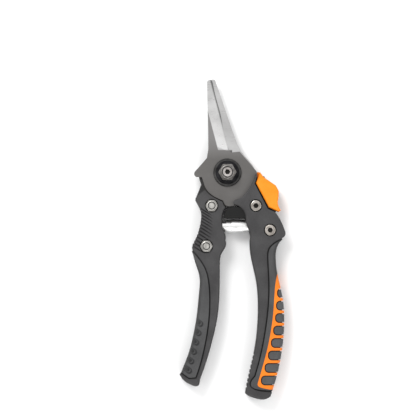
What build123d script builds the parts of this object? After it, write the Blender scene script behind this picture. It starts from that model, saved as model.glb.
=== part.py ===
from build123d import *
import os
from math import atan2, cos, degrees, hypot, radians, sin

# Straight-blade pruning shears, closed, lying on their back.
# Origin: on the pivot axis, in the flat back of the pivot bolt head. +Y to the tips, +Z to the nut.

# ---- driving dimensions, mm ----
blade_reach = 59.2            # pivot to blade tip
plate_top = 12.75             # top of the blade plate, where the cutting part starts
blade_thickness = 2.5
blade_gap = 0.1               # running gap between the two blades
blade_tilt = 10.0             # degrees that the blade line leans to the left of +Y
edge_land = 0.3               # thickness left at the cutting edge
grind_width = 7.0             # width of the ground bevel
running_gap = 0.05            # flat faces that slide
tang_fit = 0.05               # slot over tang, each side

pivot_diameter = 6.0
pivot_clearance = 0.05        # radial, rear blade on bolt
head_flats = 10.0
head_height = 4.2
nut_flats = 10.0
nut_height = 6.0
rear_washer_diameter = 16.0
rear_washer_thickness = 1.2
boss_diameter = 17.8
boss_thickness = 1.5
washer_diameter = 14.8
washer_thickness = 1.3
bolt_end = 0.3                # bolt end proud of the nut
socket_flats = 3.0

core_back = 0.5               # back face of the handle cores
skin_thickness = 3.9          # core in front of the front blade's tang
grip_depth = 16.0             # grips start at z = 0
grip_length = 100.35          # heel of the handle to its end
heel_y = -43.0
core_round = 1.4
skin_round = 0.6
grip_round = 3.2
groove_width = 0.85
groove_depth = 1.6

screw_diameter = 4.0
screw_clearance = 0.15
screw_head_diameter = 7.0
screw_head_height = 2.8
counterbore_clearance = 0.5
screw_nut_flats = 7.0
screw_nut_height = 3.2
lock_nut_height = 5.0
lock_nut_recess = 3.2
button_diameter = 7.6
button_height = 2.2

lever_pin_diameter = 3.0
lever_pin_clearance = 0.05
lever_pin_x = 21.4
lever_pin_y = -4.4
lever_swing = 18.0
lever_front = 14.0
lever_base = 4.8              # thickness of the handle under the lever
pin_head_diameter = 5.6
hook_bottom = 0.3             # hook on the rear blade that the lever's catch holds
hook_corner = 18.2
rim_radius = 16.7             # rear blade rim that the catch moves over
head_clear_radius = 19.3      # rear half of the right handle starts here

inlay_depth = 1.3
inlay_border = 2.1            # inlay left of each pad
pad_count = 8
pad_height = 4.9
pad_gap = 0.65
pad_step = 7.85
first_pad_y = -76.4
serration_count = 13
serration_pitch = 2.0
serration_depth = 0.7
bar_count = 6
bar_step = 5.9
bar_width = 2.6
bar_groove = 0.5
bar_depth = 0.8
bar_slope = 38.0
first_bar_y = -97.0
ridge_count = 8
ridge_step = 2.9

spring_diameter = 9.0
spring_end_diameter = 7.8
spring_wall = 1.1
spring_y = -33.9
spring_left = -4.3
spring_right = 13.5
spring_fit = 0.4
spring_end_gap = 0.1
bumper_depth = 10.0

# ---- levels worked out from the stack ----
rear_back = head_height + rear_washer_thickness + running_gap
rear_front = rear_back + blade_thickness
blade_plane = rear_front + blade_gap / 2
front_back = rear_front + blade_gap
front_front = front_back + blade_thickness
boss_front = front_front + boss_thickness
washer_front = boss_front + washer_thickness
nut_front = washer_front + nut_height
core_front = front_front + tang_fit + skin_thickness
middle = (core_back + core_front) / 2
lever_back = core_back + lever_base + 2 * running_gap

right_screws = [(18.0, -21.1), (27.0, -36.6)]
left_screws = [(-9.97, -21.2), (-13.3, -46.8)]
lever_pin = (lever_pin_x, lever_pin_y)
plate_edge = [(15.8, -6.5), (13.2, -11.0), (11.3, -13.6), (8.8, -16.1), (4.9, -17.5)]


# ---- helpers ----
def outline(start, *stretches):
    # closed face: a stretch of one point is a straight run, a longer one is a smooth curve
    lines = []
    last = start
    for points in stretches:
        path = [last, *points]
        lines.append(Line(*path) if len(path) == 2 else Spline(*path))
        last = points[-1]
    if last != start:
        lines.append(Line(last, start))
    return make_face(Curve() + lines)


def prism(face, low, high):
    return extrude(Pos(0, 0, low) * face, high - low, dir=(0, 0, 1))


def disc(place, diameter, low, high):
    rod = Cylinder(diameter / 2, high - low, align=(Align.CENTER, Align.CENTER, Align.MIN))
    return Pos(place[0], place[1], low) * rod


def hexagon(place, flats, low, high):
    return prism(Pos(*place) * RegularPolygon(flats / 2, 6, major_radius=False), low, high)


def rims(solid, level, *places):
    # edges at one level that pass through the given places
    found = ShapeList()
    for edge in solid.edges():
        box = edge.bounding_box()
        flat = abs(box.min.Z - level) < 0.01 and abs(box.max.Z - level) < 0.01
        if flat and any(edge.distance_to(Vector(x, y, level)) < 0.02 for x, y in places):
            found.append(edge)
    return found


def down(share):
    # height on a handle, as a share of the grip length below the heel
    return heel_y - share * grip_length


def up(share):
    # height on a blade, as a share of its reach above the plate
    return plate_top + share * (blade_reach - plate_top)


def flip(place):
    # mirror image in the line of the blades
    turn = 2 * radians(90 + blade_tilt)
    return (place[0] * cos(turn) + place[1] * sin(turn), place[0] * sin(turn) - place[1] * cos(turn))


def across(points, y):
    # x on a chain of points at height y
    for (x0, y0), (x1, y1) in zip(points, points[1:]):
        if y1 <= y <= y0:
            return x0 + (x1 - x0) * (y - y0) / (y1 - y0)
    return points[-1][0]


def write(node, solid):
    solid.label = node
    export_step(solid, f"parts/{node}.step")


# ---- blades ----
def cutting_part():
    # front blade above the plate, with its ground bevel
    face = outline(
        (-12.98, 9.46),
        [(-12.15, 14.6)],
        [(-12.3, up(0.4)), (-12.66, up(0.73)), (-12.85, up(0.955))],
        [(-12.3, up(0.99)), (-10.9, up(1.0)), (-9.5, up(0.975))],
        [(-7.23, up(0.755)), (-4.03, up(0.494)), (1.0, up(0.045)), (2.37, 12.7)],
        [(2.4, 6.0)],
        [(-11.0, 6.0)],
    )
    blank = prism(face, front_back, front_front)
    top = (-12.34, up(0.563))
    heel = (-6.59, 17.1)
    lean = degrees(atan2(heel[0] - top[0], top[1] - heel[1]))
    drop = blade_thickness - edge_land
    slope = make_face(Plane.XZ * Polyline(
        (0, front_front), (2 * grind_width, front_front - 2 * drop),
        (2 * grind_width, front_front + drop), (0, front_front + drop), close=True))
    wedge = Pos(*heel) * Rot(0, 0, lean) * extrude(slope, 2 * blade_reach, both=True)
    ground = outline(
        (-30, 2 * blade_reach),
        [(-30, 20)],
        [(-7.8, 17.6)],
        [(-4.03, 15.4), (1.09, 13.6), (6, 13.0)],
        [(30, 13)],
        [(30, 2 * blade_reach)],
    )
    return blank - (wedge & prism(ground, front_back - 1, front_front + 1))


def front_plate_face():
    return outline(
        (-11.5, 10.95),
        [(-20.65, 0.51)],
        [(-21.1, -0.77), (-19.9, -2.69)],
        [(-16.2, -2.88)],
        [(-15.2, -5.88), (-14.0, -9.3), (-11.06, -13.24), (-7.23, -15.8), (-2.9, -17.7)],
        [(-1.55, -20.5)],
        [(-0.4, -21.1), (3.64, -20.9)],
        [(10.4, -21.8)],
        [(14.0, -26.6)],
        [(23.0, -39.0)],
        [(27.2, -41.0), (31.2, -37.0)],
        [(24.2, -23.6)],
        [(16.1, -7.3)],
        [(18.1, -1.0)],
        [(18.67, -0.13), (18.4, 0.95)],
        [(7.8, 13.3)],
        [(2.0, plate_top)],
        [(-6.0, plate_top)],
    )


def rear_plate_face():
    return outline(
        flip((-12.98, 9.46)),
        [(15.9, 4.9)],
        [(hook_corner - 0.1, hook_bottom + 0.9)],
        [(hook_corner, hook_bottom)],
        [(rim_radius, hook_bottom)],
        [(15.9, -5.1), (12.7, -10.8), (9.0, -13.9)],
        [(1.0, -17.2)],
        [(-4.6, -26.0)],
        [(-8.9, -48.5)],
        [(-12.6, -51.2), (-17.4, -48.2)],
        [(-14.4, -27.0)],
        [(-14.9, -20.0)],
        [(-15.6, -9.3)],
        [(-17.0, -6.4), (-18.0, -2.9), (-17.3, 2.4)],
        [(-12.0, 8.0)],
        [(-6.0, 12.5)],
        [(3.0, plate_top)],
    )


def front_blade():
    blade = prism(front_plate_face(), front_back, front_front) + cutting_part()
    blade -= disc((0, 0), pivot_diameter, front_back, front_front)
    for place in right_screws:
        blade -= disc(place, screw_diameter + 2 * screw_clearance, front_back, front_front)
    return blade


def rear_blade():
    lean = radians(blade_tilt)
    line = Axis((0, 0, blade_plane), (-sin(lean), cos(lean), 0))
    blade = prism(rear_plate_face(), rear_back, rear_front) + cutting_part().rotate(line, 180)
    blade -= disc((0, 0), pivot_diameter + 2 * pivot_clearance, rear_back, rear_front)
    for place in left_screws:
        blade -= disc(place, screw_diameter + 2 * screw_clearance, rear_back, rear_front)
    return blade


# ---- pivot stack and fasteners ----
def hex_body(place, flats, low, high, both_ends):
    # hexagon with its corners turned off
    crown = disc(place, flats * 1.13, low, high)
    ends = crown.edges().filter_by(GeomType.CIRCLE).sort_by(Axis.Z)
    crown = chamfer(ends if both_ends else ends[:1], flats * 0.06)
    return hexagon(place, flats, low, high) & crown


def pivot_bolt():
    end = nut_front + bolt_end
    bolt = hex_body((0, 0), head_flats, 0, head_height, False)
    bolt += disc((0, 0), pivot_diameter, head_height, end)
    bolt = chamfer(rims(bolt, end, (pivot_diameter / 2, 0)), 0.4)
    return bolt - hexagon((0, 0), socket_flats, end - 2.5, end)


def ring_level(low, height):
    return low + height * 0.74


def lock_nut(place, flats, bore, low, height):
    # hexagon, then a round collar that holds the locking ring
    shoulder = ring_level(low, height) - 0.2
    nut = hex_body(place, flats, low, shoulder, True)
    nut += disc(place, flats * 0.9, shoulder - 0.1, low + height)
    nut = fillet(rims(nut, low + height, (place[0] + flats * 0.45, place[1])), flats * 0.05)
    nut -= disc(place, bore, low, low + height)
    nut -= disc(place, flats * 0.77, shoulder + 0.2, low + height - 0.25)
    return nut - disc(place, flats * 0.7, low + height - 0.3, low + height)


def locking_ring(place, flats, bore, low, height):
    ring = disc(place, flats * 0.77, ring_level(low, height), low + height - 0.25)
    return ring - disc(place, bore, low, low + height)


def washer(diameter, bore, low, thickness, edge):
    ring = disc((0, 0), diameter, low, low + thickness)
    ring = chamfer(rims(ring, low + thickness, (diameter / 2, 0)), edge)
    return ring - disc((0, 0), bore, low, low + thickness)


def cap_screw(place):
    seat = core_front - 0.2 - screw_head_height
    tail = core_back + screw_nut_height - 0.4
    head = disc(place, screw_head_diameter, seat, seat + screw_head_height)
    head = fillet(rims(head, seat + screw_head_height, (place[0] + screw_head_diameter / 2, place[1])), 0.5)
    head -= hexagon(place, socket_flats, seat + 0.6, seat + screw_head_height)
    return head + disc(place, screw_diameter, tail - screw_nut_height + 0.6, seat)


def screw_nut(place):
    nut = hex_body(place, screw_nut_flats, core_back + 0.2, core_back + 0.2 + screw_nut_height, True)
    return nut - disc(place, screw_diameter, core_back, core_back + 2 * screw_nut_height)


def lock_nut_seat():
    return core_front - lock_nut_recess


def button_bolt(place):
    end = lock_nut_seat() + lock_nut_height + bolt_end
    seat = core_back + 0.1 + button_height
    head = disc(place, button_diameter, seat - button_height, seat)
    head = fillet(rims(head, seat - button_height, (place[0] + button_diameter / 2, place[1])), 1.2)
    head -= hexagon(place, socket_flats, seat - button_height, seat - 0.8)
    shank = disc(place, screw_diameter, seat, end)
    shank = chamfer(rims(shank, end, (place[0] + screw_diameter / 2, place[1])), 0.4)
    return head + shank


# ---- handles ----
right_groove = [
    (27.9, down(0.953)), (18.35, down(0.943)), (14.9, down(0.925)), (16.75, down(0.853)),
    (20.9, down(0.70)), (23.5, down(0.56)), (25.2, down(0.42)), (25.7, down(0.27)),
    (25.0, down(0.12)), (26.0, down(0.05)), (29.2, down(0.016)), (34.3, down(-0.012))]
right_corners = [0, 3, 11]
left_groove = [
    (-21.9, down(0.064)), (-17.1, down(0.12)), (-13.3, down(0.185)), (-11.2, down(0.28)),
    (-10.8, down(0.42)), (-12.0, down(0.56)), (-14.6, down(0.70)), (-18.2, down(0.83)),
    (-19.7, down(0.868)), (-24.5, down(0.872)), (-29.7, down(0.836))]
left_corners = [0, 8, 9, 10]


def right_core_face():
    return outline(
        (18.45, -0.3),
        [(17.4, -1.7)],
        plate_edge,
        [(3.8, -19.2), (4.4, -20.6)],
        [(8.8, -22.8), (10.9, -25.9), (11.6, -31.5), (13.5, -36.6), (14.1, heel_y)],
        [(14.5, down(0.083)), (18.0, down(0.248)), (19.3, down(0.40)), (18.8, down(0.55)),
         (16.75, down(0.70)), (13.6, down(0.834)), (11.1, down(0.962))],
        [(13.2, down(0.977)), (17.7, down(0.994)), (23.2, down(1.0)), (27.2, down(0.98))],
        [right_groove[0]],
        *runs(right_groove, right_corners),
        [(36.6, -39.5), (36.25, -36.9)],
        [(33.4, -30.2), (30.3, -25.3)],
        [(25.5, -23.2)],
        [(17.2, -7.1)],
        [(18.5, -3.2), (18.75, -1.2)],
    )


def right_grip_face():
    edge = beside(right_groove, groove_width)
    return outline(
        edge[0],
        *runs(edge, right_corners),
        [(31.2, down(0.05)), (30.5, down(0.12)), (32.0, down(0.23)), (35.1, down(0.38)),
         (35.8, down(0.53)), (34.4, down(0.69)), (30.9, down(0.86)), (28.3, down(0.945))],
    )


def lever_base_face():
    # part of the handle that lies behind the lever and holds its pin
    return outline(
        (19.9, -0.9),
        [(18.6, -2.6)],
        [(17.2, -7.1)],
        [(25.5, -23.2)],
        [(30.3, -25.3)],
        [(31.6, -23.6)],
        [(30.6, -17.5), (31.2, -12.0), (29.9, -9.2)],
        [(25.2, -6.0)],
        [(23.6, -2.2)],
    )


def left_core_face():
    return outline(
        (-20.2, -16.4),
        [(-17.5, -13.6)],
        [(-14.26, -11.3)],
        [(-11.6, -13.95), (-7.6, -16.55), (-3.3, -18.6)],
        [(-2.2, -21.5)],
        [(-0.9, -22.1)],
        [(-3.05, -26.3), (-3.4, -31.5), (-2.9, -35.3), (-1.7, -38.4), (-1.3, heel_y)],
        [(-1.0, down(0.034)), (-3.7, down(0.083)), (-4.8, down(0.15)), (-4.9, down(0.286)),
         (-6.3, down(0.484)), (-9.8, down(0.643)), (-14.6, down(0.802)), (-17.5, down(0.879))],
        [(-19.05, down(0.917)), (-23.85, down(0.905)), (-28.4, down(0.873)), (-29.9, down(0.845))],
        [left_groove[10]],
        [left_groove[9]],
        [left_groove[8]],
        list(reversed(left_groove[:8])),
        [(-22.4, -47.3), (-20.65, heel_y), (-18.7, -38.5), (-17.0, -31.5), (-17.0, -24.3),
         (-19.2, -19.5), (-20.3, -17.6)],
    )


def left_back_face():
    # skin over the back of the rear blade
    edge = [flip(place) for place in plate_edge]
    return outline(flip((17.9, -1.0)), edge, [(-0.9, -22.1)], [(-10.0, -24.0)], [(-20.2, -16.4)])


def left_grip_face():
    edge = beside(left_groove, groove_width)
    return outline(
        edge[0],
        *runs(edge, left_corners),
        [(-27.7, down(0.79)), (-24.7, down(0.713)), (-21.7, down(0.599)), (-19.6, down(0.484)),
         (-18.0, down(0.33)), (-17.9, down(0.22)), (-19.6, down(0.165)), (-21.7, down(0.09))],
    )


def beside(points, gap):
    # the same chain of points, moved to the right of its direction
    moved = []
    for i, (x, y) in enumerate(points):
        x0, y0 = points[max(i - 1, 0)]
        x1, y1 = points[min(i + 1, len(points) - 1)]
        reach = hypot(x1 - x0, y1 - y0)
        moved.append((x + gap * (y1 - y0) / reach, y - gap * (x1 - x0) / reach))
    return moved


def runs(points, breaks):
    # stretches of a chain between its corners
    return [points[first + 1:last + 1] for first, last in zip(breaks, breaks[1:])]


def web(chain, breaks):
    # floor of the groove: the core carries on to the grip at mid depth
    near = beside(chain, -1.0)
    far = beside(chain, groove_width)
    face = outline(far[0], *runs(far, breaks), [near[-1]], list(reversed(near[:-1])))
    return prism(face, core_back + groove_depth, core_front - groove_depth)


def spring_pocket(x, toward):
    pocket = Pos(x, spring_y, middle) * Rot(0, 90 * toward, 0) * Cylinder(
        spring_end_diameter / 2 + spring_fit, 30, align=(Align.CENTER, Align.CENTER, Align.MIN))
    return pocket


def right_core():
    core = prism(right_core_face(), core_back, core_front)
    inner = [(11.6, -31.5), (19.3, down(0.40)), (17.7, down(0.994))]
    for level in (core_front, core_back):
        core = fillet(rims(core, level, *inner), core_round)
    core = fillet(rims(core, core_front, (11.3, -13.6), (17.9, -1.0)), skin_round)
    core += web(right_groove, right_corners)
    core -= disc((0, 0), 2 * head_clear_radius, core_back - 1, front_back)
    core -= prism(front_plate_face(), front_back - tang_fit, front_front + tang_fit)
    core += prism(lever_base_face(), core_back, core_back + lever_base)
    for place in right_screws:
        seat = core_front - 0.2 - screw_head_height
        core -= disc(place, screw_head_diameter + 2 * counterbore_clearance, seat, core_front + 1)
        core -= disc(place, screw_diameter + 2 * screw_clearance, core_back, core_front)
        core -= hexagon(place, screw_nut_flats, core_back - 1, core_back + 0.2 + screw_nut_height)
    core -= disc(lever_pin, lever_pin_diameter, core_back, core_front)
    core -= disc(lever_pin, pin_head_diameter, core_back, core_back + 1.2)
    core -= spring_pocket(spring_right + spring_end_gap, -1)
    for i in range(ridge_count):
        y = down(0.72) - i * ridge_step
        x = across([(16.75, down(0.70)), (13.6, down(0.834)), (11.1, down(0.962))], y)
        core -= Pos(x - 0.35, y, middle) * Rot(0, 0, 20) * Box(1.6, 1.3, 2 * grip_depth)
    return core


def left_core():
    core = prism(left_core_face(), core_back, core_front)
    inner = [(-3.4, -31.5), (-4.9, down(0.286)), (-23.85, down(0.905))]
    for level in (core_front, core_back):
        core = fillet(rims(core, level, *inner), core_round)
    core += web(left_groove, left_corners)
    core += prism(left_back_face(), core_back, rear_back - tang_fit)
    core -= prism(rear_plate_face(), rear_back - tang_fit, rear_front + tang_fit)
    for place in left_screws:
        seat = core_back + 0.1 + button_height
        core -= disc(place, button_diameter + 2 * counterbore_clearance, core_back - 1, seat)
        core -= disc(place, screw_diameter + 2 * screw_clearance, core_back, core_front)
        core -= disc(place, screw_nut_flats * 1.22, lock_nut_seat(), core_front + 1)
    core -= spring_pocket(spring_left - spring_end_gap, 1)
    chain = [(-17.8, -21.5), (-17.0, -24.3), (-17.0, -31.5), (-18.7, -38.5), (-20.65, heel_y), (-22.4, -47.3)]
    for i in range(serration_count):
        y = -22.6 - i * serration_pitch
        cut = Pos(across(chain, y), y, core_front) * Rot(0, 0, -32) * Rot(0, 4, 0)
        core -= cut * Rot(45, 0, 0) * Box(19, serration_depth * 1.4, serration_depth * 1.4)
        core -= Pos(across(chain, y), y, 0) * Rot(0, 0, 45) * Box(serration_depth, serration_depth, 60)
    return core


def grip(face, round_places):
    half = prism(face, grip_depth / 2, grip_depth)
    half = fillet(rims(half, grip_depth, *round_places), grip_round)
    return half + mirror(half, Plane.XY.offset(grip_depth / 2))


inlay_left = [
    (31.4, down(0.214)), (30.4, down(0.262)), (29.5, down(0.363)), (28.5, down(0.49)), (26.7, down(0.605)),
    (25.1, down(0.682)), (23.1, down(0.759)), (20.9, down(0.835)), (19.0, down(0.898))]


def inlay_face():
    return outline(
        inlay_left[0],
        inlay_left[1:],
        [(19.2, down(0.914)), (22.2, down(0.928)), (26.0, down(0.936)), (34.0, down(0.945))],
        [(45.0, down(0.9))],
        [(45.0, down(0.2))],
    )


def pad_face(i, margin):
    y = first_pad_y - i * pad_step
    x = across(inlay_left, y) + inlay_border - margin
    height = pad_height + 2 * margin
    return Pos(x + 15, y) * RectangleRounded(30, height, height * 0.42)


def right_grip_pieces():
    places = [(35.1, down(0.38))]
    body = grip(right_grip_face(), places)
    inner = prism(Pos(-inlay_depth, 0) * right_grip_face(), inlay_depth, grip_depth - inlay_depth)
    outer = prism(inlay_face(), -1, grip_depth + 1)
    shell = (body & outer) - inner
    body = body - (outer - inner)
    windows = Part() + [prism(pad_face(i, pad_gap), -1, grip_depth + 1) for i in range(pad_count)]
    pads = Part() + [prism(pad_face(i, 0), -1, grip_depth + 1) for i in range(pad_count)]
    return body, shell - windows, shell & pads


def left_grip():
    places = [(-19.6, down(0.484))]
    body = grip(left_grip_face(), places)
    for i in range(bar_count):
        y = first_bar_y - i * bar_step
        x = across([(-15.6, first_bar_y), (-16.7, -103.0), (-19.5, -114.5), (-22.6, -125.6)], y)
        turn = Pos(x, y) * Rot(0, 0, -bar_slope)
        wide = turn * Pos(-12, 0) * RectangleRounded(24, bar_width + 2 * bar_groove, 1.7)
        slim = turn * Pos(-13.2, 0) * RectangleRounded(24, bar_width, 1.2)
        pocket = turn * Pos(-4.2, 0) * RectangleRounded(4.6, bar_width - 0.6, 0.9)
        for face, depth in ((wide - slim, bar_depth), (pocket, 1.6 * bar_depth)):
            body -= prism(face, grip_depth - depth, grip_depth + 1)
            body -= prism(face, -1, depth)
    return body


# ---- lever, spring, bumper ----
def lock_lever():
    face = outline(
        (20.65, 0.13),
        [(18.03, -6.71)],
        [(26.15, -22.1)],
        [(32.5, -24.9)],
        [(33.8, -24.0)],
        [(31.9, -18.3), (32.3, -16.6)],
        [(32.5, -12.0)],
        [(30.75, -8.44)],
        [(25.8, -5.05)],
        [(22.9, -3.0)],
    )
    lever = prism(face, lever_back, lever_front)
    lever = chamfer(lever.faces().sort_by(Axis.Z)[-1].edges(), 0.7)
    turn = Pos(lever_pin_x, lever_pin_y) * Rot(0, 0, -lever_swing) * Pos(-lever_pin_x, -lever_pin_y)
    catch = turn * outline(
        (17.55, -0.55), [(19.6, -0.15)], [(23.0, -3.0)], [(21.0, -7.0)], [(18.9, -4.0)], [(17.65, -2.4)])
    lever += prism(catch, lever_back, rear_front)
    lever -= disc(lever_pin, lever_pin_diameter + 2 * lever_pin_clearance, lever_back, lever_front - 1.2)
    return lever


def lock_pin():
    pin = disc(lever_pin, lever_pin_diameter, core_back + 0.2, lever_front - 1.5)
    return pin + disc(lever_pin, pin_head_diameter, core_back + 0.2, core_back + 1.2)


def return_spring():
    half = (spring_right - spring_left) / 2
    end = spring_end_diameter / 2
    swell = spring_diameter / 2
    profile = make_face(Polyline(
        (-half, end - spring_wall), (-half, end), (0, swell), (half, end),
        (half, end - spring_wall), (0, swell - spring_wall), close=True))
    shell = revolve(profile, Axis.X, 360)
    return Pos(spring_left + half, spring_y, middle) * shell


def bumper():
    face = outline(
        (-0.2, -22.6),
        [(4.0, -21.6)],
        [(14.0, -22.9)],
        [(14.0, -28.9)],
        [(-2.2, -28.9)],
        [(-2.3, -26.6)],
    )
    block = prism(face, middle - bumper_depth / 2, middle + bumper_depth / 2)
    block -= prism(right_core_face(), core_back, core_front)
    return block - prism(front_plate_face(), front_back - tang_fit, front_front + tang_fit)


os.makedirs("parts", exist_ok=True)
pivot = (0, 0)
grip_body, inlay, pads = right_grip_pieces()

write("front_blade", front_blade())
write("rear_blade", rear_blade())
write("pivot_bolt", pivot_bolt())
write("pivot_nut", lock_nut(pivot, nut_flats, pivot_diameter, washer_front, nut_height))
write("pivot_nut_ring", locking_ring(pivot, nut_flats, pivot_diameter, washer_front, nut_height))
write("pivot_boss_washer", washer(boss_diameter, pivot_diameter, front_front, boss_thickness, 0.5))
write("pivot_front_washer", washer(washer_diameter, pivot_diameter, boss_front, washer_thickness, 0.4))
write("pivot_rear_washer", washer(rear_washer_diameter, pivot_diameter, head_height, rear_washer_thickness, 0.2))
write("right_handle_core", right_core())
write("left_handle_core", left_core())
write("right_grip", grip_body)
write("right_grip_inlay", inlay)
write("right_grip_pads", pads)
write("left_grip", left_grip())
write("right_tang_screws", Compound(children=[cap_screw(place) for place in right_screws]))
write("right_tang_nuts", Compound(children=[screw_nut(place) for place in right_screws]))
write("left_tang_bolts", Compound(children=[button_bolt(place) for place in left_screws]))
lock_size = (screw_nut_flats, screw_diameter, lock_nut_seat(), lock_nut_height)
write("left_tang_nuts", Compound(children=[lock_nut(place, *lock_size) for place in left_screws]))
write("left_nut_rings", Compound(children=[locking_ring(place, *lock_size) for place in left_screws]))
write("lock_lever", lock_lever())
write("lock_pin", lock_pin())
write("return_spring", return_spring())
write("bumper", bumper())
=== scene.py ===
import bpy
import bmesh
from math import cos, pi, radians, sin
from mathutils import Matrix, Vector


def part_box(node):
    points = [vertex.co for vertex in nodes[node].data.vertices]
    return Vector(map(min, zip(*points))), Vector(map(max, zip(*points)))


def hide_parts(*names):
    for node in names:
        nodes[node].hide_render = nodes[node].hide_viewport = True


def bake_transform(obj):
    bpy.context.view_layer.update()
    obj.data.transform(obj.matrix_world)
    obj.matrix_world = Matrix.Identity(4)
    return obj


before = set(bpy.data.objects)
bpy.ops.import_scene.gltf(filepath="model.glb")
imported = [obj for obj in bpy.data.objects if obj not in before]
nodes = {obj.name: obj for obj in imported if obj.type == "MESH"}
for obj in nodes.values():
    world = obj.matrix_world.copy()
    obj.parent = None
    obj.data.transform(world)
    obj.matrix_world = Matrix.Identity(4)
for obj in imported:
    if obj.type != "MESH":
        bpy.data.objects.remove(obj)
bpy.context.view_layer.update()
scene = bpy.context.scene
bpy.ops.object.select_all(action="DESELECT")
print("frame loaded:", len(nodes), "nodes")

mm = 0.001
cloudSpan = (0.35, 0.65)   # noise values that a colour runs between
markSpan = (0.3, 0.7)      # noise values that a roughness runs between


# shader helpers: each material is one small node tree on object coordinates
def startMaterial(name, roughness, metallic=0.0):
    material = bpy.data.materials.new(name)
    material.use_nodes = True
    tree = material.node_tree
    shader = tree.nodes["Principled BSDF"]
    shader.inputs["Roughness"].default_value = roughness
    shader.inputs["Metallic"].default_value = metallic
    place = tree.nodes.new("ShaderNodeTexCoord")
    return material, tree, shader, place.outputs["Object"]


def addNode(tree, kind, **values):
    node = tree.nodes.new(kind)
    for key, value in values.items():
        setattr(node, key, value)
    return node


def addNoise(tree, coords, scale, detail, stretch=(1, 1, 1)):
    mapping = addNode(tree, "ShaderNodeMapping")
    mapping.inputs["Scale"].default_value = stretch
    tree.links.new(coords, mapping.inputs["Vector"])
    noise = addNode(tree, "ShaderNodeTexNoise")
    noise.inputs["Scale"].default_value = scale
    noise.inputs["Detail"].default_value = detail
    tree.links.new(mapping.outputs["Vector"], noise.inputs["Vector"])
    return noise.outputs["Fac"]


def addRange(tree, source, fromLow, fromHigh, toLow, toHigh):
    remap = addNode(tree, "ShaderNodeMapRange")
    remap.inputs["From Min"].default_value = fromLow
    remap.inputs["From Max"].default_value = fromHigh
    remap.inputs["To Min"].default_value = toLow
    remap.inputs["To Max"].default_value = toHigh
    tree.links.new(source, remap.inputs["Value"])
    return remap.outputs["Result"]


def addMix(tree, factor, low, high):
    mix = addNode(tree, "ShaderNodeMix", data_type="RGBA")
    for socket, value in ((6, low), (7, high)):
        if isinstance(value, tuple):
            mix.inputs[socket].default_value = (*value, 1)
        else:
            tree.links.new(value, mix.inputs[socket])
    tree.links.new(factor, mix.inputs[0])
    return mix.outputs[2]


def addCloud(tree, noise, dark, light):
    return addMix(tree, addRange(tree, noise, *cloudSpan, 0, 1), dark, light)


def addSplit(tree, coords):
    split = addNode(tree, "ShaderNodeSeparateXYZ")
    tree.links.new(coords, split.inputs[0])
    return split.outputs


def addPaintedShade(tree, colour, share):
    # the colour times a share between 0 and 1, used to paint shade
    return addMix(tree, share, (0.0, 0.0, 0.0), colour)


def addMath(tree, operation, first, second):
    math = addNode(tree, "ShaderNodeMath", operation=operation)
    for socket, value in ((0, first), (1, second)):
        if isinstance(value, (int, float)):
            math.inputs[socket].default_value = value
        else:
            tree.links.new(value, math.inputs[socket])
    return math.outputs[0]


def addBump(tree, shader, height, strength, distance):
    bump = addNode(tree, "ShaderNodeBump")
    bump.inputs["Strength"].default_value = strength
    bump.inputs["Distance"].default_value = distance
    tree.links.new(height, bump.inputs["Height"])
    tree.links.new(bump.outputs["Normal"], shader.inputs["Normal"])


def faceLevels(node):
    # middle and half height of a node, for painted shade that depends on the depth below its faces
    low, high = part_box(node)
    return {"middle": (low[2] + high[2]) / 2, "reach": (high[2] - low[2]) / 2}


def paintedDepthShade(tree, coords, shade):
    # painted shade: 1 at the two faces, "left" from "full" below them: grooves and also the sides of the
    # handles
    rise = addMath(tree, "SUBTRACT", addSplit(tree, coords)[2], shade["middle"])
    height = addMath(tree, "ABSOLUTE", rise, 0)
    deep, shallow = shade["reach"] - shade["full"], shade["reach"] - shade["start"]
    return addRange(tree, height, deep, shallow, shade["left"], 1)


mouldLook = {"specular": 0.22, "driftScale": 90, "detail": 2, "driftShare": 0.6,
             "roughnessSwing": 0.07, "grainStrength": 0.35}
# painted shade in the handle and grip grooves and down their sides
handlePaintedShade = {**faceLevels("right_handle_core"), "start": 0.3 * mm, "full": 1.3 * mm, "left": 0.75}
gripPaintedShade = {**faceLevels("right_grip"), "start": 0.2 * mm, "full": 1.0 * mm, "left": 0.7}


def moulded(name, dark, light, roughness, grain, grainDepth, shade=None):
    # moulded nylon or rubber: fine grain, slow colour drift, and painted shade below the faces if a shade is
    # given
    look = mouldLook
    material, tree, shader, coords = startMaterial(name, roughness)
    shader.inputs["Specular IOR Level"].default_value = look["specular"]
    drift = addNoise(tree, coords, look["driftScale"], look["detail"])
    fine = addNoise(tree, coords, grain, look["detail"])
    slow = addMath(tree, "MULTIPLY", drift, look["driftShare"])
    quick = addMath(tree, "MULTIPLY", fine, 1 - look["driftShare"])
    colour = addCloud(tree, addMath(tree, "ADD", slow, quick), dark, light)
    if shade:
        colour = addPaintedShade(tree, colour, paintedDepthShade(tree, coords, shade))
    tree.links.new(colour, shader.inputs["Base Color"])
    swing = look["roughnessSwing"]
    scuffed = addRange(tree, drift, *markSpan, roughness - swing, roughness + swing)
    tree.links.new(scuffed, shader.inputs["Roughness"])
    addBump(tree, shader, fine, look["grainStrength"], grainDepth)
    return material


steelLook = {"patinaScale": 260, "patinaDetail": 2, "markDetail": 4, "smoother": 0.08, "rougher": 0.1,
             "markStrength": 0.18, "markDepth": 0.03 * mm, "socketFade": 0.3 * mm, "socketPaintedShade": 0.06}


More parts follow.
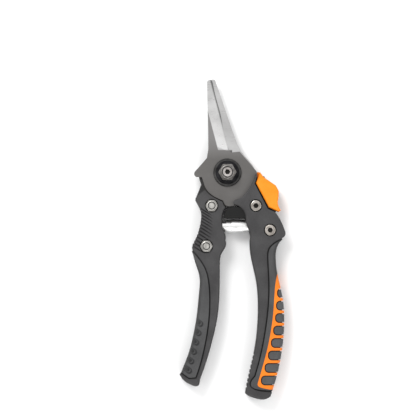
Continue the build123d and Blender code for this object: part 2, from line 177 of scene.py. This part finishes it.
def turnedSteel(name, dark, light, roughness, brush, stretch=(1, 1, 1), socketBelow=None):
    # plated or bare steel with fine tool marks, with painted shade below a height where it has a socket
    look = steelLook
    material, tree, shader, coords = startMaterial(name, roughness, 1.0)
    marks = addNoise(tree, coords, brush, look["markDetail"], stretch)
    patina = addNoise(tree, coords, look["patinaScale"], look["patinaDetail"])
    colour = addCloud(tree, patina, dark, light)
    if socketBelow:
        # painted shade inside the socket
        height = addSplit(tree, coords)[2]
        above = addRange(tree, height, socketBelow - look["socketFade"], socketBelow, look["socketPaintedShade"], 1)
        colour = addPaintedShade(tree, colour, above)
    tree.links.new(colour, shader.inputs["Base Color"])
    worn = addRange(tree, marks, *markSpan, roughness - look["smoother"], roughness + look["rougher"])
    tree.links.new(worn, shader.inputs["Roughness"])
    addBump(tree, shader, marks, look["markStrength"], look["markDepth"])
    return material


bladeLook = {
    "grindTop": (-12.34, 38.9), "grindHeel": (-6.59, 17.1), "grindLine": 0.1,   # where the bevel starts, mm
    "grindEnd": 14.6, "fadeBelow": 0.5, "fadeAbove": 0.3,   # height where the bevel runs out, mm
    "lapped": 0.1, "lappedFade": 0.02,                      # depth of the rear blade's bright flat face, mm
    "stripLeft": 3, "stripBottom": 1, "stripFade": 0.1,     # where that face is bright below the bevel, mm
    "edgeLow": 0.35, "edgeHigh": 0.6, "edgePaintedShadow": 0.3,     # painted shadow line at the cutting edge, mm above the back
    "glareAndToneStart": 8, "glareAndToneEnd": 22, "glareAndToneSwing": (-0.06, 0.1),   # the coat is painted lighter between these heights, mm, partly as a painted glare highlight
    # the rear blade's coat colour is painted darker, as shade under the front plate
    "coat": (0.13, 0.125, 0.121), "coatGlareAndTone": (0.2, 0.195, 0.193), "rearCoatShaded": (0.04, 0.039, 0.038),
    "bright": (0.45, 0.447, 0.445), "brightLight": (0.56, 0.557, 0.555),
    "grindScale": 900, "cloudScale": 90, "detail": 2, "grindStretch": (0.15, 3.0, 1),
    "coatRoughness": 0.42, "steelRoughness": 0.3, "grindSwing": (-0.03, 0.04),
    "grindStrength": 0.05, "grindDepth": 0.01 * mm,
}


def lappedStrip(tree, x, y, z):
    # flat face of the rear blade, bright where it shows beside the front plate
    look = bladeLook
    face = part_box("rear_blade")[1][2] - look["lapped"] * mm
    lapped = addRange(tree, z, face - look["lappedFade"] * mm, face, 0, 1)
    left, bottom, fade = look["stripLeft"] * mm, look["stripBottom"] * mm, look["stripFade"] * mm
    rightSide = addRange(tree, x, left, left + fade, 0, 1)
    upperSide = addRange(tree, y, bottom, bottom + fade, 0, 1)
    return addMath(tree, "MULTIPLY", addMath(tree, "MULTIPLY", rightSide, upperSide), lapped)


def rightOfGrind(tree, x, y):
    # side of the front blade's grind line where the steel is bare
    look = bladeLook
    top, heel = Vector(look["grindTop"]), Vector(look["grindHeel"])
    along = (top - heel).normalized()
    acrossX = addMath(tree, "MULTIPLY", x, along.y)
    acrossY = addMath(tree, "MULTIPLY", y, -along.x)
    offset = (heel.x * along.y - heel.y * along.x) * mm
    line = look["grindLine"] * mm
    return addRange(tree, addMath(tree, "ADD", acrossX, acrossY), offset - line, offset + line, 0, 1)


def bladeSteel(name, isRear):
    # coated plate, with bright ground steel towards the tip
    look = bladeLook
    material, tree, shader, coords = startMaterial(name, look["coatRoughness"], 1.0)
    x, y, z = addSplit(tree, coords)
    end = look["grindEnd"]
    above = addRange(tree, y, (end - look["fadeBelow"]) * mm, (end + look["fadeAbove"]) * mm, 0, 1)
    if isRear:
        bright = addMath(tree, "MAXIMUM", above, lappedStrip(tree, x, y, z))
    else:
        bright = addMath(tree, "MULTIPLY", above, rightOfGrind(tree, x, y))
    grinding = addNoise(tree, coords, look["grindScale"], look["detail"], look["grindStretch"])
    cloud = addNoise(tree, coords, look["cloudScale"], look["detail"])
    # coat painted lighter towards the tip, partly a painted glare highlight
    glareAndTone = addMath(tree, "ADD", addRange(tree, y, look["glareAndToneStart"] * mm, look["glareAndToneEnd"] * mm, 0, 1),
                   addRange(tree, cloud, *cloudSpan, *look["glareAndToneSwing"]))
    coat = addMix(tree, glareAndTone, look["rearCoatShaded" if isRear else "coat"], look["coatGlareAndTone"])
    steel = addCloud(tree, cloud, look["bright"], look["brightLight"])
    # painted shadow line along the cutting edge of the front blade
    if not isRear:
        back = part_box("front_blade")[0][2]
        low, high = back + look["edgeLow"] * mm, back + look["edgeHigh"] * mm
        steel = addPaintedShade(tree, steel, addRange(tree, z, low, high, look["edgePaintedShadow"], 1))
    tree.links.new(addMix(tree, bright, coat, steel), shader.inputs["Base Color"])
    swing = addRange(tree, grinding, *markSpan, *look["grindSwing"])
    base = addRange(tree, bright, 0, 1, look["coatRoughness"], look["steelRoughness"])
    tree.links.new(addMath(tree, "ADD", swing, base), shader.inputs["Roughness"])
    addBump(tree, shader, grinding, look["grindStrength"], look["grindDepth"])
    return material


# sockets start this far below the top of their own fastener, and painted shade fills them below that
socketDepth = {"pivot_bolt": 0.35 * mm, "right_tang_screws": 0.4 * mm}
socketTop = {node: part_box(node)[1][2] - depth for node, depth in socketDepth.items()}

finishes = {
    "frontBlade": bladeSteel("frontBladeSteel", False),
    "rearBlade": bladeSteel("rearBladeSteel", True),
    "zinc": turnedSteel("zincPlate", (0.36, 0.35, 0.33), (0.56, 0.55, 0.52), 0.3, 700),
    "capScrew": turnedSteel("capScrewSteel", (0.34, 0.31, 0.28), (0.55, 0.51, 0.47), 0.28, 700,
                            socketBelow=socketTop["right_tang_screws"]),
    "blackened": turnedSteel("blackenedSteel", (0.13, 0.122, 0.115), (0.24, 0.23, 0.22), 0.3, 700),
    "boltEnd": turnedSteel("pivotBoltSteel", (0.42, 0.39, 0.37), (0.62, 0.59, 0.57), 0.28, 700,
                           socketBelow=socketTop["pivot_bolt"]),
    "greyWasher": turnedSteel("greyWasherSteel", (0.045, 0.044, 0.043), (0.075, 0.074, 0.073), 0.4, 500),
    "blackWasher": turnedSteel("blackWasherCoat", (0.012, 0.012, 0.013), (0.03, 0.03, 0.032), 0.42, 500),
    "nylonRing": moulded("lockingRingNylon", (0.008, 0.008, 0.009), (0.02, 0.02, 0.021),
                         0.5, 1200, 0.02 * mm),
    "handle": moulded("handleNylon", (0.034, 0.033, 0.034), (0.052, 0.051, 0.052),
                      0.46, 1500, 0.04 * mm, handlePaintedShade),
    "grip": moulded("gripRubber", (0.042, 0.042, 0.043), (0.064, 0.064, 0.065),
                    0.6, 1900, 0.05 * mm, gripPaintedShade),
    "pad": moulded("padRubber", (0.05, 0.05, 0.051), (0.078, 0.078, 0.08), 0.58, 1900, 0.05 * mm),
    "orangeSoft": moulded("orangeInlay", (0.66, 0.15, 0.006), (0.78, 0.2, 0.012), 0.5, 1700, 0.04 * mm),
    "orangeHard": moulded("orangeLever", (0.78, 0.21, 0.01), (0.86, 0.26, 0.018), 0.33, 1100, 0.02 * mm),
    "bumper": moulded("bumperRubber", (0.003, 0.003, 0.003), (0.006, 0.006, 0.006), 0.62, 1500, 0.04 * mm),
    "spring": turnedSteel("springStrip", (0.82, 0.82, 0.81), (0.93, 0.93, 0.92), 0.3, 500, (0.4, 3, 3)),
}
nodeFinish = {
    "front_blade": "frontBlade", "rear_blade": "rearBlade",
    "pivot_bolt": "boltEnd", "pivot_nut": "blackened", "pivot_nut_ring": "nylonRing",
    "pivot_boss_washer": "greyWasher", "pivot_front_washer": "blackWasher", "pivot_rear_washer": "greyWasher",
    "right_handle_core": "handle", "left_handle_core": "handle",
    "right_grip": "grip", "left_grip": "grip", "right_grip_inlay": "orangeSoft", "right_grip_pads": "pad",
    "right_tang_screws": "capScrew", "right_tang_nuts": "zinc", "left_tang_bolts": "zinc",
    "left_tang_nuts": "zinc", "left_nut_rings": "nylonRing", "lock_pin": "zinc",
    "lock_lever": "orangeHard", "bumper": "bumper", "return_spring": "spring",
}
for node, finish in nodeFinish.items():
    for slot in nodes[node].material_slots:
        slot.material = finishes[finish]
print("materials on", len(nodeFinish), "nodes")


# return spring: wide flat strip wound on itself, each turn outside and to the right of the last
springSize = {"turns": 2.3, "stepsPerTurn": 72, "rowPoints": 9, "thickness": 0.45 * mm,
              "inner": 3.1 * mm, "strip": 10.0 * mm, "taper": 0.5 * mm, "startAngle": 0.6,
              "creaseAngle": 40, "heldEnd": 0.5 * mm}


def makeSpring():
    size = springSize
    low, high = (Vector(corner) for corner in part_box("return_spring"))
    centre = (low + high) / 2
    outer = (high.z - low.z) / 2 - size["thickness"] / 2
    steps = round(size["turns"] * size["stepsPerTurn"])
    travel = high.x - low.x - size["strip"]
    mesh = bpy.data.meshes.new("volute_spring")
    shape = bmesh.new()
    last = None
    for i in range(steps + 1):
        share = i / steps
        radius = size["inner"] + share * (outer - size["inner"])
        angle = 2 * pi * size["turns"] * share + size["startAngle"]
        row = []
        for j in range(size["rowPoints"]):
            along = j / (size["rowPoints"] - 1)
            reach = radius - size["taper"] * along * along
            row.append(shape.verts.new((low.x + share * travel + along * size["strip"],
                                        centre.y + reach * cos(angle), centre.z + reach * sin(angle))))
        if last:
            for j in range(size["rowPoints"] - 1):
                shape.faces.new((last[j], last[j + 1], row[j + 1], row[j]))
        last = row
    bmesh.ops.recalc_face_normals(shape, faces=shape.faces)
    shape.to_mesh(mesh)
    shape.free()
    spring = bpy.data.objects.new("volute_spring", mesh)
    scene.collection.objects.link(spring)
    bpy.context.view_layer.objects.active = spring
    spring.select_set(True)
    wall = spring.modifiers.new("thickness", "SOLIDIFY")
    wall.thickness = size["thickness"]
    wall.offset = 0
    bpy.ops.object.modifier_apply(modifier="thickness")
    bpy.ops.object.shade_smooth_by_angle(angle=radians(size["creaseAngle"]))
    spring.select_set(False)
    mesh.materials.append(finishes["spring"])
    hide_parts("return_spring")
    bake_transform(spring)


makeSpring()
print("return spring wound")


# floor, light and camera
floorLook = {"size": 4.0, "drop": 0.2 * mm, "white": 0.86, "roughness": 0.8}
bpy.ops.mesh.primitive_plane_add(size=floorLook["size"], location=(0, 0, -floorLook["drop"]))
floor = bpy.context.object
floor.name = "floor"
paper = startMaterial("paperWhite", floorLook["roughness"])[0]
paperShader = paper.node_tree.nodes["Principled BSDF"]
paperShader.inputs["Base Color"].default_value = (*[floorLook["white"]] * 3, 1)
floor.data.materials.append(paper)
floor.select_set(False)

roomLight = {"colour": (1, 1, 1, 1), "strength": 0.8}
world = bpy.data.worlds.new("softRoom")
scene.world = world
scene.view_settings.view_transform = "Standard"
world.use_nodes = True
background = world.node_tree.nodes["Background"]
background.inputs[0].default_value = roomLight["colour"]
background.inputs[1].default_value = roomLight["strength"]

lights = {
    "keySoftbox": {"place": (-0.35, 0.45, 0.75), "size": 0.4, "power": 6},
    "fillSoftbox": {"place": (0.55, -0.1, 0.7), "size": 0.5, "power": 2},
    "footSoftbox": {"place": (-0.1, -0.7, 0.5), "size": 0.5, "power": 2},
}
lampTarget = Vector((0, -0.04, 0.008))
for name, light in lights.items():
    lamp = bpy.data.lights.new(name, "AREA")
    lamp.size = light["size"]
    lamp.energy = light["power"]
    lampObject = bpy.data.objects.new(name, lamp)
    scene.collection.objects.link(lampObject)
    lampObject.location = light["place"]
    lampObject.rotation_euler = (lampTarget - Vector(light["place"])).to_track_quat("-Z", "Y").to_euler()

cameraSetup = {"aim": (-12.3 * mm, -22.5 * mm, 11 * mm), "elevation": 87.5, "azimuth": 0.0,
               "lens": 200.0, "frameWidth": 263.5 * mm, "clip": (0.05, 20)}
lens = bpy.data.cameras.new("camera")
lens.lens = cameraSetup["lens"]
distance = cameraSetup["frameWidth"] * cameraSetup["lens"] / lens.sensor_width
lens.clip_start, lens.clip_end = cameraSetup["clip"]
eye = bpy.data.objects.new("camera", lens)
scene.collection.objects.link(eye)
up = radians(cameraSetup["elevation"])
turn = radians(cameraSetup["azimuth"])
away = Vector((sin(turn) * cos(up), -cos(turn) * cos(up), sin(up)))
aim = Vector(cameraSetup["aim"])
eye.location = aim + away * distance
eye.rotation_euler = (-away).to_track_quat("-Z", "Y").to_euler()
scene.camera = eye
print("stage set")
